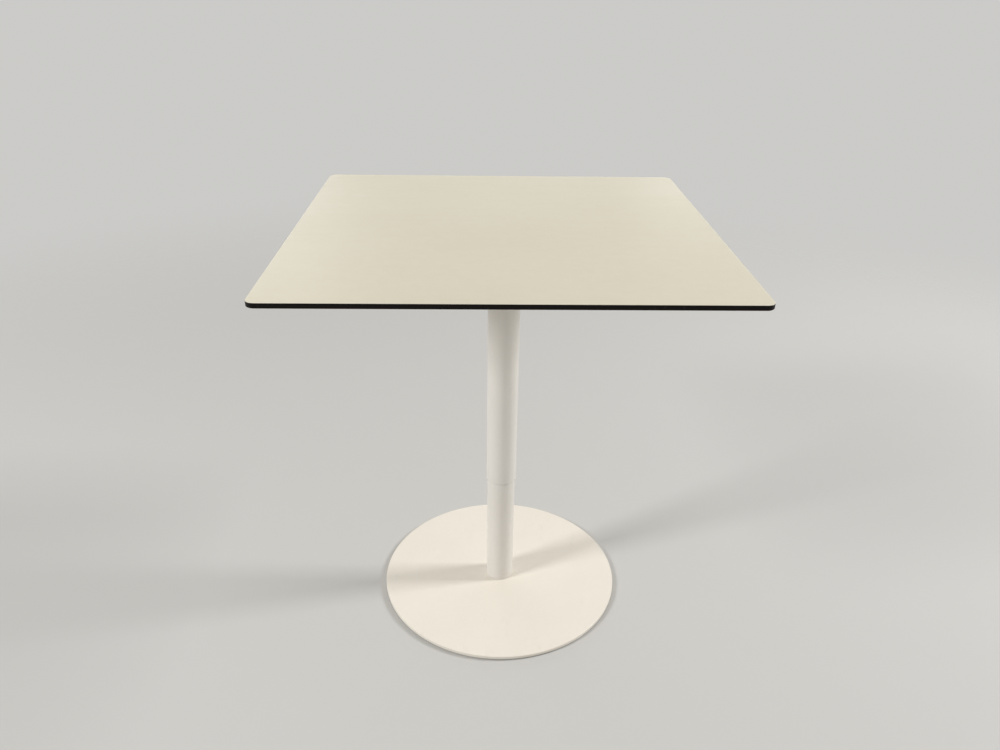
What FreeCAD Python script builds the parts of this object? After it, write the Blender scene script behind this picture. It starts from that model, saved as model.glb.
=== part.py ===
import FreeCAD, Part
import math
import os

# Height-adjustable pedestal table. Sizes are in millimetres and angles in degrees. The table stands on
# the floor at Z = 0 with its column on the Z axis, its front edge towards -Y and its release lever
# towards +X. It is drawn part of the way up its travel, and everything fixed to the top moves along Z.

# Height of the tabletop's upper face at its lowest, the column's travel, and how far up it is drawn
lowest_height = 720.0
lift_stroke = 380.0
raised_at_rest = 242.0

# Tabletop, a compact laminate panel with a dark core between two decor sheets
top_side = 890.0
top_corner_radius = 18.0
core_thickness = 9.2
decor_thickness = 0.4
upper_arris = 0.25
lower_chamfer = 0.8

# Top plate welded to the upper tube, with machine screws into threaded inserts in the panel
plate_side = 350.0
plate_thickness = 5.0
plate_corner_radius = 25.0
plate_edge_chamfer = 1.0
plate_screw_diameter = 6.0
plate_screw_inset = 22.0
plate_screw_end_room = 1.5
insert_wall = 1.6
insert_cover = 2.5

# Base plate and glides
base_diameter = 600.0
base_thickness = 8.0
base_rim_chamfer = 1.2
base_lower_chamfer = 0.8
glide_count = 6
glide_diameter = 30.0
glide_height = 3.0
glide_edge_chamfer = 0.8
glide_inset = 26.0
glide_stub_diameter = 8.0
glide_stub_length = 4.0

# Column tubes and guides. The tubes are sized from the gas spring and the anti-turn rod inside them.
lower_tube_wall = 2.0
upper_tube_wall = 1.5
tube_rim_chamfer = 0.4
bush_wall = 0.9
bush_length = 60.0
bush_lip_thickness = 1.2
bush_lip_inset = 0.5
bare_tube_at_lowest = 63.0
cap_flange = 4.0
cap_sleeve_length = 50.0
cap_skirt_length = 40.0
cap_skirt_wall = 3.0
cap_hub_wall = 3.0
cap_rib_thickness = 2.5
cap_rib_angles = (0.0, 60.0, -60.0)
anti_turn_rod_diameter = 10.0
anti_turn_rod_tail = 12.0
anti_turn_screw_diameter = 6.0
anti_turn_screw_length = 20.0
rod_to_cylinder_gap = 4.5
rod_to_tube_gap = 3.5

# Foot of the column
foot_plug_height = 20.0
foot_screw_diameter = 8.0
foot_screw_length = 24.0
post_over_cylinder = 2.0
post_wall = 4.0
post_cap = 12.0
post_recess = 3.0

# Lockable gas spring
cylinder_diameter = 28.0
cylinder_wall = 1.6
cylinder_crimp = 2.0
cylinder_crimp_reach = 3.5
cylinder_floor = 8.0
stud_diameter = 10.0
stud_grip = 10.0
rod_guide_height = 18.0
rod_seal_height = 6.0
piston_rod_diameter = 10.0
piston_tenon_diameter = 7.0
rivet_height = 1.5
rivet_overhang = 2.0
piston_height = 18.0
piston_top_room = 3.0
piston_bottom_room = 8.0
piston_ring_height = 4.0
piston_ring_depth = 2.0
release_pin_diameter = 2.8
release_pin_proud = 5.0
valve_diameter = 6.0
valve_height = 1.2
nut_height = 6.0

# Release bracket, rocker and lever
bracket_web = 10.0
bracket_cheek = 6.0
bracket_back = 13.0
bracket_wall_gap = 2.0
bracket_corner_radius = 3.0
bracket_screw_diameter = 4.0
bracket_screw_length = 14.0
bracket_screw_pitch = 20.0
bracket_screw_to_pivot = 9.0
nut_to_cap_gap = 8.0
rod_end_proud = 1.0
rocker_width = 12.0
rocker_bar_height = 12.0
rocker_end_room = 0.5
rocker_boss_radius = 6.5
rocker_thread_length = 17.0
pivot_drop = 11.0
pivot_above_bar = 10.0
pivot_to_bracket_end = 6.6
pivot_pin_diameter = 6.0
pivot_head_diameter = 10.0
pivot_head_height = 1.8
pivot_tail = 2.4
clip_diameter = 10.0
clip_thickness = 0.9
clip_groove_depth = 0.8
clip_mouth = 4.0
lever_lift = 6.0
lever_rod_diameter = 8.0
lever_bend_from_tube = 30.0
lever_straight = 10.0
lever_reach = 284.0
lever_fall = 25.0
lever_bend_radius = 40.0
lever_slot_gap = 0.5
grip_length = 84.0
grip_collar_diameter = 13.0
grip_belly_diameter = 17.0
grip_taper = 30.0
grip_bevel = 2.5
grip_end_wall = 4.0

# Clearances between pieces: seated fits, running fits, the valve pin, holes for screws, contact gap
seat_clearance = 0.05
slide_clearance = 0.05
pin_clearance = 0.1
hole_clearance = 0.3
side_clearance = 0.3
touch_gap = 0.05

# Standard screw and nut proportions, as multiples of the thread diameter
countersink_radius_ratio = 1.0
pan_head_radius_ratio = 1.0
pan_head_height_ratio = 0.6
pan_head_bevel_ratio = 0.25
socket_width_ratio = 0.65
socket_depth_ratio = 0.4
nut_width_ratio = 1.7

# Heights of the main joints between pieces
rest_height = lowest_height + raised_at_rest
panel_thickness = core_thickness + 2 * decor_thickness
panel_bottom = rest_height - panel_thickness
plate_bottom = panel_bottom - plate_thickness
insert_top = rest_height - insert_cover
base_top = glide_height + base_thickness
drop_to_rest = lift_stroke - raised_at_rest

# Column radii, from the gas spring outwards
cylinder_radius = cylinder_diameter / 2
cylinder_bore = cylinder_radius - cylinder_wall
anti_turn_rod_radius = anti_turn_rod_diameter / 2
anti_turn_offset = cylinder_radius + rod_to_cylinder_gap + anti_turn_rod_radius
lower_bore = anti_turn_offset + anti_turn_rod_radius + rod_to_tube_gap
lower_radius = lower_bore + lower_tube_wall
upper_bore = lower_radius + bush_wall + 2 * slide_clearance
upper_radius = upper_bore + upper_tube_wall

# Release mechanism, measured down from the top plate and out from the column's axis
lever_axis = plate_bottom - pivot_drop - pivot_above_bar
pivot_height = plate_bottom - pivot_drop
rocker_underside = lever_axis - rocker_bar_height / 2
pin_top = rocker_underside - touch_gap
rod_top = pin_top - release_pin_proud
web_top = rod_top - rod_end_proud
web_bottom = web_top - bracket_web
bracket_half_gap = rocker_width / 2 + side_clearance
bracket_half_width = bracket_half_gap + bracket_cheek
bracket_front = math.sqrt((upper_bore - bracket_wall_gap) ** 2 - bracket_half_width ** 2)
pivot_offset = bracket_front - pivot_to_bracket_end
rocker_front = bracket_front + rocker_end_room

# Column heights. The lower tube ends where the release bracket stops short of it at the lowest setting.
upper_tube_end = base_top + bare_tube_at_lowest + raised_at_rest
bracket_nut_bottom = web_bottom - nut_height
cap_top = bracket_nut_bottom - raised_at_rest - nut_to_cap_gap
lower_tube_top = cap_top - cap_flange
anti_turn_bottom = lower_tube_top - cap_skirt_length - anti_turn_rod_tail - drop_to_rest

# Gas spring heights, from the cap downwards
rod_guide_top = lower_tube_top - cylinder_crimp
rod_seal_top = rod_guide_top - rod_guide_height
rod_seal_bottom = rod_seal_top - rod_seal_height
piston_top = rod_seal_bottom - piston_top_room - drop_to_rest
piston_bottom = piston_top - piston_height
cylinder_inner_floor = piston_bottom - raised_at_rest - piston_bottom_room
cylinder_bottom = cylinder_inner_floor - cylinder_floor
post_top = cylinder_bottom - nut_height
plug_top = base_top + foot_plug_height
post_radius = cylinder_radius + post_over_cylinder

up = FreeCAD.Vector(0, 0, 1)
origin = FreeCAD.Vector(0, 0, 0)


def disc(radius, low, high, x=0.0, y=0.0):
    return Part.makeCylinder(radius, high - low, FreeCAD.Vector(x, y, low))


def ring(inner, outer, low, high):
    return disc(outer, low, high).cut(disc(inner, low, high))


def box(x_range, y_range, z_range):
    corner = FreeCAD.Vector(x_range[0], y_range[0], z_range[0])
    sides = [high - low for low, high in (x_range, y_range, z_range)]
    return Part.makeBox(*sides, corner)


def cross_pin(radius, x, z, y_range):
    start = FreeCAD.Vector(x, y_range[0], z)
    return Part.makeCylinder(radius, y_range[1] - y_range[0], start, FreeCAD.Vector(0, 1, 0))


def profile_edges(points):
    corners = [FreeCAD.Vector(radius, 0, height) for radius, height in points]
    return Part.makePolygon(corners + corners[:1]).Edges


def turned(edges):
    solid = Part.Face(Part.Wire(edges)).revolve(origin, up, 360)
    if solid.Volume < 0:
        solid.reverse()
    return solid


def prism(points, low, high):
    corners = [FreeCAD.Vector(x, y, low) for x, y in points]
    outline = Part.makePolygon(corners + corners[:1])
    return Part.Face(outline).extrude(FreeCAD.Vector(0, 0, high - low))


def hexagon(across_flats, low, high):
    corner_radius = across_flats / math.sqrt(3)
    angles = [math.radians(60 * side) for side in range(6)]
    return prism([(corner_radius * math.cos(a), corner_radius * math.sin(a)) for a in angles], low, high)


def upright_edges(solid):
    return [edge for edge in solid.Edges if edge.BoundBox.ZLength > edge.BoundBox.DiagonalLength / 2]


def level_edges(solid, height):
    tolerance = 1e-6
    return [edge for edge in solid.Edges
            if abs(edge.BoundBox.ZMin - height) < tolerance and abs(edge.BoundBox.ZMax - height) < tolerance]


def rounded_square(side, corner_radius, low, high):
    half = side / 2
    block = box((-half, half), (-half, half), (low, high))
    return block.makeFillet(corner_radius, upright_edges(block))


def each_place(solid, places):
    return [solid.translated(FreeCAD.Vector(x, y, 0)) for x, y in places]


def circle_places(count, radius, start_angle=0.0):
    angles = [math.radians(start_angle + 360 * step / count) for step in range(count)]
    return [(radius * math.cos(angle), radius * math.sin(angle)) for angle in angles]


def socket(diameter, low, high):
    return hexagon(diameter * socket_width_ratio, low, high)


# Countersunk screw with its head at the top, at the given height
def countersunk_screw(diameter, length, head_face):
    radius = diameter / 2
    head_radius = diameter * countersink_radius_ratio
    neck = head_face - (head_radius - radius)
    tip = head_face - length
    body = turned(profile_edges([(0, tip), (radius, tip), (radius, neck), (head_radius, head_face),
                                 (0, head_face)]))
    return body.cut(socket(diameter, head_face - diameter * socket_depth_ratio, head_face))


# Hole for a countersunk screw: its cone, and a shank hole down to the given depth
def countersunk_hole(diameter, depth, head_face):
    radius = diameter / 2 + seat_clearance
    head_radius = diameter * countersink_radius_ratio + seat_clearance
    neck = head_face - (head_radius - radius)
    return turned(profile_edges([(0, head_face - depth), (radius, head_face - depth), (radius, neck),
                                 (head_radius, head_face), (0, head_face)]))


def flipped(solid, height):
    turned_over = solid.copy()
    turned_over.rotate(FreeCAD.Vector(0, 0, height), FreeCAD.Vector(1, 0, 0), 180)
    return turned_over


# Places of the repeated fasteners and feet
screw_reach = plate_side / 2 - plate_screw_inset
plate_screw_places = [(x * screw_reach, y * screw_reach)
                      for x in (-1, 0, 1) for y in (-1, 0, 1) if (x, y) != (0, 0)]
glide_places = circle_places(glide_count, base_diameter / 2 - glide_inset)
foot_screw_places = circle_places(4, (post_radius + lower_bore) / 2, 45.0)
cheek_middle = bracket_half_gap + bracket_cheek / 2
bracket_screw_places = [(pivot_offset - bracket_screw_to_pivot - back, side * cheek_middle)
                        for back in (0.0, bracket_screw_pitch) for side in (-1, 1)]


# The whole panel with its eased edges, before it is sliced into core and decor sheets
def laminate_panel():
    panel = rounded_square(top_side, top_corner_radius, panel_bottom, rest_height)
    panel = panel.makeChamfer(upper_arris, level_edges(panel, rest_height))
    return panel.makeChamfer(lower_chamfer, level_edges(panel, panel_bottom))


def panel_layer(panel, low, high):
    half = top_side
    layer = panel.common(box((-half, half), (-half, half), (low, high)))
    radius = plate_screw_diameter / 2 + insert_wall + seat_clearance
    pocket = disc(radius, panel_bottom, insert_top + seat_clearance)
    return layer.cut(Part.makeCompound(each_place(pocket, plate_screw_places)))


def threaded_inserts():
    bore = plate_screw_diameter / 2 + seat_clearance
    insert = ring(bore, plate_screw_diameter / 2 + insert_wall, panel_bottom, insert_top)
    return Part.makeCompound(each_place(insert, plate_screw_places))


def top_plate():
    plate = rounded_square(plate_side, plate_corner_radius, plate_bottom, panel_bottom)
    plate = plate.makeChamfer(plate_edge_chamfer, level_edges(plate, plate_bottom))
    screw_hole = disc(plate_screw_diameter / 2 + hole_clearance, plate_bottom, panel_bottom)
    bracket_hole = countersunk_hole(bracket_screw_diameter, plate_thickness, panel_bottom)
    rod_hole = countersunk_hole(anti_turn_screw_diameter, plate_thickness, panel_bottom)
    holes = each_place(screw_hole, plate_screw_places)
    holes += each_place(bracket_hole, bracket_screw_places)
    holes += each_place(rod_hole, [(-anti_turn_offset, 0)])
    return plate.cut(Part.makeCompound(holes))


# Socket pan-head screw driven up from under the plate
def plate_screws():
    radius = plate_screw_diameter / 2
    head_bottom = plate_bottom - plate_screw_diameter * pan_head_height_ratio
    head_radius = plate_screw_diameter * pan_head_radius_ratio
    bevel = plate_screw_diameter * pan_head_bevel_ratio
    tip = insert_top - plate_screw_end_room
    screw = turned(profile_edges([(0, head_bottom), (head_radius - bevel, head_bottom),
                                  (head_radius, head_bottom + bevel), (head_radius, plate_bottom),
                                  (radius, plate_bottom), (radius, tip), (0, tip)]))
    drive_depth = plate_screw_diameter * socket_depth_ratio
    screw = screw.cut(socket(plate_screw_diameter, head_bottom, head_bottom + drive_depth))
    return Part.makeCompound(each_place(screw, plate_screw_places))


# Rise of the lever rod's axis at a given distance from the column, when the lever is pulled fully up
def lever_rise(distance):
    angle = math.radians(lever_lift)
    return (distance - pivot_offset) * math.sin(angle) + pivot_above_bar * (1 - math.cos(angle))


def upper_tube():
    rim_radius = upper_radius - tube_rim_chamfer
    tube = turned(profile_edges([(upper_bore, upper_tube_end), (rim_radius, upper_tube_end),
                                 (upper_radius, upper_tube_end + tube_rim_chamfer),
                                 (upper_radius, plate_bottom), (upper_bore, plate_bottom)]))
    slot_radius = lever_rod_diameter / 2 + lever_slot_gap
    slot_top = lever_axis + lever_rise(upper_radius)
    along_x = FreeCAD.Vector(1, 0, 0)
    ends = [Part.makeCylinder(slot_radius, 2 * upper_radius, FreeCAD.Vector(0, 0, z), along_x)
            for z in (lever_axis, slot_top)]
    middle = box((0, 2 * upper_radius), (-slot_radius, slot_radius), (lever_axis, slot_top))
    return tube.cut(ends[0].fuse([middle, ends[1]]))


def lower_bush():
    inner = lower_radius + slide_clearance
    outer = upper_bore - slide_clearance
    lip_outer = upper_radius - bush_lip_inset
    lip_bottom = upper_tube_end - bush_lip_thickness
    top = upper_tube_end + bush_length
    return turned(profile_edges([(inner, lip_bottom), (lip_outer, lip_bottom), (lip_outer, upper_tube_end),
                                 (outer, upper_tube_end), (outer, top), (inner, top)]))


def lower_tube():
    return ring(lower_bore, lower_radius, base_top, lower_tube_top)


# Moulded cap: flange and thin sleeve run in the upper tube, the skirt plugs the lower tube,
# the hub centres the gas cylinder and the boss guides the anti-turn rod
def guide_cap():
    sleeve = ring(lower_radius + seat_clearance, upper_bore - slide_clearance,
                  lower_tube_top - cap_sleeve_length, lower_tube_top)
    skirt_outer = lower_bore - seat_clearance
    skirt_bottom = lower_tube_top - cap_skirt_length
    skirt = ring(skirt_outer - cap_skirt_wall, skirt_outer, skirt_bottom, lower_tube_top)
    hub_bore = cylinder_radius + seat_clearance
    hub = disc(hub_bore + cap_hub_wall, skirt_bottom, lower_tube_top)
    boss = disc(anti_turn_rod_radius + cap_hub_wall, skirt_bottom, lower_tube_top, -anti_turn_offset)
    inside = disc(skirt_outer, skirt_bottom, lower_tube_top)
    rib_half = cap_rib_thickness / 2
    rib = box((0, skirt_outer), (-rib_half, rib_half), (skirt_bottom, lower_tube_top))
    ribs = [rib.rotated(origin, up, angle) for angle in cap_rib_angles]
    filling = [solid.common(inside) for solid in [boss] + ribs]
    flange = disc(upper_bore - slide_clearance, lower_tube_top, cap_top)
    cap = flange.fuse([sleeve, skirt, hub] + filling).removeSplitter()
    cap = cap.cut(disc(hub_bore, skirt_bottom, lower_tube_top))
    cap = cap.cut(disc(piston_rod_diameter / 2 + hole_clearance, lower_tube_top, cap_top))
    return cap.cut(disc(anti_turn_rod_radius + slide_clearance, skirt_bottom, cap_top, -anti_turn_offset))


def anti_turn_rod():
    rod = disc(anti_turn_rod_radius, anti_turn_bottom, plate_bottom, -anti_turn_offset)
    thread = disc(anti_turn_screw_diameter / 2 + seat_clearance,
                  panel_bottom - anti_turn_screw_length, plate_bottom, -anti_turn_offset)
    return rod.cut(thread)


def anti_turn_screw():
    screw = countersunk_screw(anti_turn_screw_diameter, anti_turn_screw_length, panel_bottom)
    return screw.translated(FreeCAD.Vector(-anti_turn_offset, 0, 0))


def base_plate():
    plate = disc(base_diameter / 2, glide_height, base_top)
    plate = plate.makeChamfer(base_rim_chamfer, level_edges(plate, base_top))
    plate = plate.makeChamfer(base_lower_chamfer, level_edges(plate, glide_height))
    screw_hole = flipped(countersunk_hole(foot_screw_diameter, base_thickness, glide_height), glide_height)
    stub_hole = disc(glide_stub_diameter / 2 + seat_clearance,
                     glide_height, glide_height + glide_stub_length + seat_clearance)
    holes = each_place(screw_hole, foot_screw_places) + each_place(stub_hole, glide_places)
    return plate.cut(Part.makeCompound(holes))


def base_glides():
    pad_radius = glide_diameter / 2
    stub_radius = glide_stub_diameter / 2
    stub_top = glide_height + glide_stub_length
    glide = turned(profile_edges([(0, 0), (pad_radius - glide_edge_chamfer, 0),
                                  (pad_radius, glide_edge_chamfer), (pad_radius, glide_height),
                                  (stub_radius, glide_height), (stub_radius, stub_top), (0, stub_top)]))
    return Part.makeCompound(each_place(glide, glide_places))


def foot_plug():
    plug = disc(lower_bore - seat_clearance, base_top, plug_top)
    recess = disc(post_radius + seat_clearance, plug_top - post_recess, plug_top)
    thread = disc(foot_screw_diameter / 2 + seat_clearance, base_top, plug_top)
    return plug.cut(Part.makeCompound([recess] + each_place(thread, foot_screw_places)))


def foot_screws():
    screw = flipped(countersunk_screw(foot_screw_diameter, foot_screw_length, glide_height), glide_height)
    return Part.makeCompound(each_place(screw, foot_screw_places))


def spring_post():
    bottom = plug_top - post_recess
    post = ring(post_radius - post_wall, post_radius, bottom, post_top - post_cap)
    cap = ring(stud_diameter / 2 + seat_clearance, post_radius, post_top - post_cap, post_top)
    return post.fuse(cap).removeSplitter()


def hex_nut(diameter, low):
    return hexagon(diameter * nut_width_ratio, low, low + nut_height).cut(
        disc(diameter / 2 + seat_clearance, low, low + nut_height))


# Pressure tube with its floor and stud below, and its rim rolled in over the rod guide
def gas_cylinder():
    stud_radius = stud_diameter / 2
    stud_tip = post_top - stud_grip
    crimp_inner = cylinder_bore - cylinder_crimp_reach
    return turned(profile_edges([(0, stud_tip), (stud_radius, stud_tip), (stud_radius, cylinder_bottom),
                                 (cylinder_radius, cylinder_bottom), (cylinder_radius, lower_tube_top),
                                 (crimp_inner, lower_tube_top), (crimp_inner, rod_guide_top),
                                 (cylinder_bore, rod_guide_top), (cylinder_bore, cylinder_inner_floor),
                                 (0, cylinder_inner_floor)]))


def rod_guide():
    return ring(piston_rod_diameter / 2 + slide_clearance, cylinder_bore - seat_clearance,
                rod_seal_top, rod_guide_top)


def rod_seal():
    return ring(piston_rod_diameter / 2 + slide_clearance, cylinder_bore - seat_clearance,
                rod_seal_bottom, rod_seal_top)


# Hollow rod with a tenon through the piston, riveted over below it
def piston_rod():
    rod_radius = piston_rod_diameter / 2
    tenon_radius = piston_tenon_diameter / 2
    bore = release_pin_diameter / 2 + pin_clearance
    rivet_radius = tenon_radius + rivet_overhang
    rivet_bottom = piston_bottom - rivet_height
    return turned(profile_edges([(bore, rivet_bottom), (rivet_radius, rivet_bottom),
                                 (rivet_radius, piston_bottom), (tenon_radius, piston_bottom),
                                 (tenon_radius, piston_top), (rod_radius, piston_top),
                                 (rod_radius, rod_top), (bore, rod_top)]))


ring_bottom = piston_bottom + (piston_height - piston_ring_height) / 2
ring_top = ring_bottom + piston_ring_height


def piston():
    outer = cylinder_bore - pin_clearance
    inner = piston_tenon_diameter / 2 + seat_clearance
    groove = outer - piston_ring_depth
    return turned(profile_edges([(inner, piston_bottom), (outer, piston_bottom), (outer, ring_bottom),
                                 (groove, ring_bottom), (groove, ring_top), (outer, ring_top),
                                 (outer, piston_top), (inner, piston_top)]))


def piston_ring():
    outer = cylinder_bore - slide_clearance
    inner = cylinder_bore - pin_clearance - piston_ring_depth + seat_clearance
    return ring(inner, outer, ring_bottom, ring_top)


# Valve pin: runs through the rod, with the valve disc under the rivet
def release_pin():
    radius = release_pin_diameter / 2
    valve_top = piston_bottom - rivet_height
    stem = disc(radius, valve_top, pin_top)
    return stem.fuse(disc(valve_diameter / 2, valve_top - valve_height, valve_top)).removeSplitter()


# Clevis that carries the gas spring's rod in its web and the rocker between its cheeks
def release_bracket():
    block = box((-bracket_back, bracket_front), (-bracket_half_width, bracket_half_width),
                (web_bottom, plate_bottom))
    block = block.makeFillet(bracket_corner_radius, upright_edges(block))
    channel = box((-2 * bracket_front, 2 * bracket_front), (-bracket_half_gap, bracket_half_gap),
                  (web_top, plate_bottom))
    rod_thread = disc(piston_rod_diameter / 2 + seat_clearance, web_bottom, web_top)
    pivot_hole = cross_pin(pivot_pin_diameter / 2 + seat_clearance, pivot_offset, pivot_height,
                           (-bracket_half_width, bracket_half_width))
    screw_thread = disc(bracket_screw_diameter / 2 + seat_clearance,
                        panel_bottom - bracket_screw_length, plate_bottom)
    cuts = [channel, rod_thread, pivot_hole] + each_place(screw_thread, bracket_screw_places)
    return block.cut(cuts)


def bracket_screws():
    screw = countersunk_screw(bracket_screw_diameter, bracket_screw_length, panel_bottom)
    return Part.makeCompound(each_place(screw, bracket_screw_places))


# Rocker bar: a round nose over the valve pin, a boss round the pivot, a thread for the lever rod
def release_rocker():
    half_width = rocker_width / 2
    y_range = (-half_width, half_width)
    nose_radius = rocker_bar_height / 2
    nose = cross_pin(nose_radius, 0.0, lever_axis, y_range)
    bar = box((0, rocker_front), y_range, (rocker_underside, lever_axis + nose_radius))
    boss = cross_pin(rocker_boss_radius, pivot_offset, pivot_height, y_range)
    boss_foot = box((pivot_offset - rocker_boss_radius, pivot_offset + rocker_boss_radius), y_range,
                    (lever_axis, pivot_height))
    rocker = bar.fuse([nose, boss, boss_foot]).removeSplitter()
    pivot_hole = cross_pin(pivot_pin_diameter / 2 + slide_clearance, pivot_offset, pivot_height, y_range)
    thread = Part.makeCylinder(lever_rod_diameter / 2 + seat_clearance, 2 * rocker_front,
                               FreeCAD.Vector(rocker_front - rocker_thread_length, 0, lever_axis),
                               FreeCAD.Vector(1, 0, 0))
    return rocker.cut([pivot_hole, thread])


clip_inner = bracket_half_width + seat_clearance
clip_outer = clip_inner + clip_thickness


def pivot_pin():
    radius = pivot_pin_diameter / 2
    head_face = -bracket_half_width - seat_clearance
    shank = cross_pin(radius, pivot_offset, pivot_height, (head_face, clip_outer + pivot_tail))
    head = cross_pin(pivot_head_diameter / 2, pivot_offset, pivot_height,
                     (head_face - pivot_head_height, head_face))
    groove_range = (clip_inner - seat_clearance, clip_outer + seat_clearance)
    groove = cross_pin(radius, pivot_offset, pivot_height, groove_range).cut(
        cross_pin(radius - clip_groove_depth, pivot_offset, pivot_height, groove_range))
    return shank.fuse(head).removeSplitter().cut(groove)


# Open retaining clip in the pin's groove, its mouth downwards
def pivot_clip():
    span = (clip_inner, clip_outer)
    outer = cross_pin(clip_diameter / 2, pivot_offset, pivot_height, span)
    hole = cross_pin(pivot_pin_diameter / 2 - clip_groove_depth + seat_clearance,
                     pivot_offset, pivot_height, span)
    half_mouth = clip_mouth / 2
    mouth = box((pivot_offset - half_mouth, pivot_offset + half_mouth), span,
                (pivot_height - clip_diameter, pivot_height))
    return outer.cut([hole, mouth])


# Straight runs in the XZ plane joined by tangent arcs of one radius
def bent_path(points, bend_radius):
    corners = [FreeCAD.Vector(x, 0, z) for x, z in points]
    edges = []
    start = corners[0]
    for before, corner, after in zip(corners, corners[1:], corners[2:]):
        incoming = (before - corner).normalize()
        outgoing = (after - corner).normalize()
        half_angle = incoming.getAngle(outgoing) / 2
        reach = bend_radius / math.tan(half_angle)
        middle_direction = (incoming + outgoing).normalize()
        middle = corner + middle_direction * (bend_radius / math.sin(half_angle) - bend_radius)
        first = corner + incoming * reach
        last = corner + outgoing * reach
        edges.append(Part.LineSegment(start, first).toShape())
        edges.append(Part.Arc(first, middle, last).toShape())
        start = last
    edges.append(Part.LineSegment(start, corners[-1]).toShape())
    return Part.Wire(edges)


grip_axis = lever_axis - lever_fall
grip_start = lever_reach - grip_length
lever_first_bend = upper_radius + lever_bend_from_tube
lever_second_bend = grip_start - lever_straight


def lever_rod():
    start = rocker_front - rocker_thread_length
    tip = lever_reach - grip_end_wall
    path = bent_path([(start, lever_axis), (lever_first_bend, lever_axis), (lever_second_bend, grip_axis),
                      (tip, grip_axis)], lever_bend_radius)
    section = Part.Wire(Part.makeCircle(lever_rod_diameter / 2, FreeCAD.Vector(start, 0, lever_axis),
                                        FreeCAD.Vector(1, 0, 0)))
    return path.makePipeShell([section], True, False)


# Grip pushed on the lever rod: a tapered collar, a straight belly and a bevelled closed end
def lever_grip():
    bore = lever_rod_diameter / 2 + seat_clearance
    collar = grip_collar_diameter / 2
    belly = grip_belly_diameter / 2
    bottom = grip_length - grip_end_wall
    shoulder = grip_length - grip_bevel
    grip = turned(profile_edges([(bore, 0), (collar, 0), (belly, grip_taper), (belly, shoulder),
                                 (belly - grip_bevel, grip_length), (0, grip_length), (0, bottom),
                                 (bore, bottom)]))
    grip = grip.rotated(origin, FreeCAD.Vector(0, 1, 0), 90)
    return grip.translated(FreeCAD.Vector(grip_start, 0, grip_axis))


panel = laminate_panel()
core_bottom = panel_bottom + decor_thickness
core_top = rest_height - decor_thickness
pieces = {
    "tabletop_face": panel_layer(panel, core_top, rest_height),
    "tabletop_core": panel_layer(panel, core_bottom, core_top),
    "tabletop_backing": panel_layer(panel, panel_bottom, core_bottom),
    "threaded_inserts": threaded_inserts(),
    "top_plate": top_plate(),
    "plate_screws": plate_screws(),
    "upper_tube": upper_tube(),
    "lower_bush": lower_bush(),
    "lower_tube": lower_tube(),
    "guide_cap": guide_cap(),
    "anti_turn_rod": anti_turn_rod(),
    "anti_turn_screw": anti_turn_screw(),
    "base_plate": base_plate(),
    "base_glides": base_glides(),
    "foot_plug": foot_plug(),
    "foot_screws": foot_screws(),
    "spring_post": spring_post(),
    "cylinder_nut": hex_nut(stud_diameter, post_top),
    "gas_cylinder": gas_cylinder(),
    "rod_guide": rod_guide(),
    "rod_seal": rod_seal(),
    "piston_rod": piston_rod(),
    "piston": piston(),
    "piston_ring": piston_ring(),
    "rod_nut": hex_nut(piston_rod_diameter, bracket_nut_bottom),
    "release_pin": release_pin(),
    "release_bracket": release_bracket(),
    "bracket_screws": bracket_screws(),
    "release_rocker": release_rocker(),
    "pivot_pin": pivot_pin(),
    "pivot_clip": pivot_clip(),
    "lever_rod": lever_rod(),
    "lever_grip": lever_grip(),
}

os.makedirs("parts", exist_ok=True)
for name, shape in pieces.items():
    shape.exportStep(os.path.join("parts", name + ".step"))
    print(f"{name}: {len(shape.Solids)} solid(s), {shape.Volume / 1000:.2f} cm3")
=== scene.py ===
import math
import bmesh
import bpy
from mathutils import Matrix, Vector


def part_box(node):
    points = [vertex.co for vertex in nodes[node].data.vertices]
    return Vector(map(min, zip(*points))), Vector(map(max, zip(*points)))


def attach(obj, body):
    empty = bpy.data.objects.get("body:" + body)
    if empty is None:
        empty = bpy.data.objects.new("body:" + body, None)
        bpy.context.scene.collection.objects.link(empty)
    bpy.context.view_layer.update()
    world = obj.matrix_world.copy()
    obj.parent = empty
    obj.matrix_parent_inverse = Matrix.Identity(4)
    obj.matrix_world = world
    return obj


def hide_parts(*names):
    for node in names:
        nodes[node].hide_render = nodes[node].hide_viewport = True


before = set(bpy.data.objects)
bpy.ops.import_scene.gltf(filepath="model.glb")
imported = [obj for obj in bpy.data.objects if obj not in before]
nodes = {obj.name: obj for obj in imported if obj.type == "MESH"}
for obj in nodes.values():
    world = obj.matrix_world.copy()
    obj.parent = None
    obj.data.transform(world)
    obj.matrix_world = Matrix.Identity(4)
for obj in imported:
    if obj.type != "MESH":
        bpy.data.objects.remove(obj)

scene = bpy.context.scene
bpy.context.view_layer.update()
mm = 0.001


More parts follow.
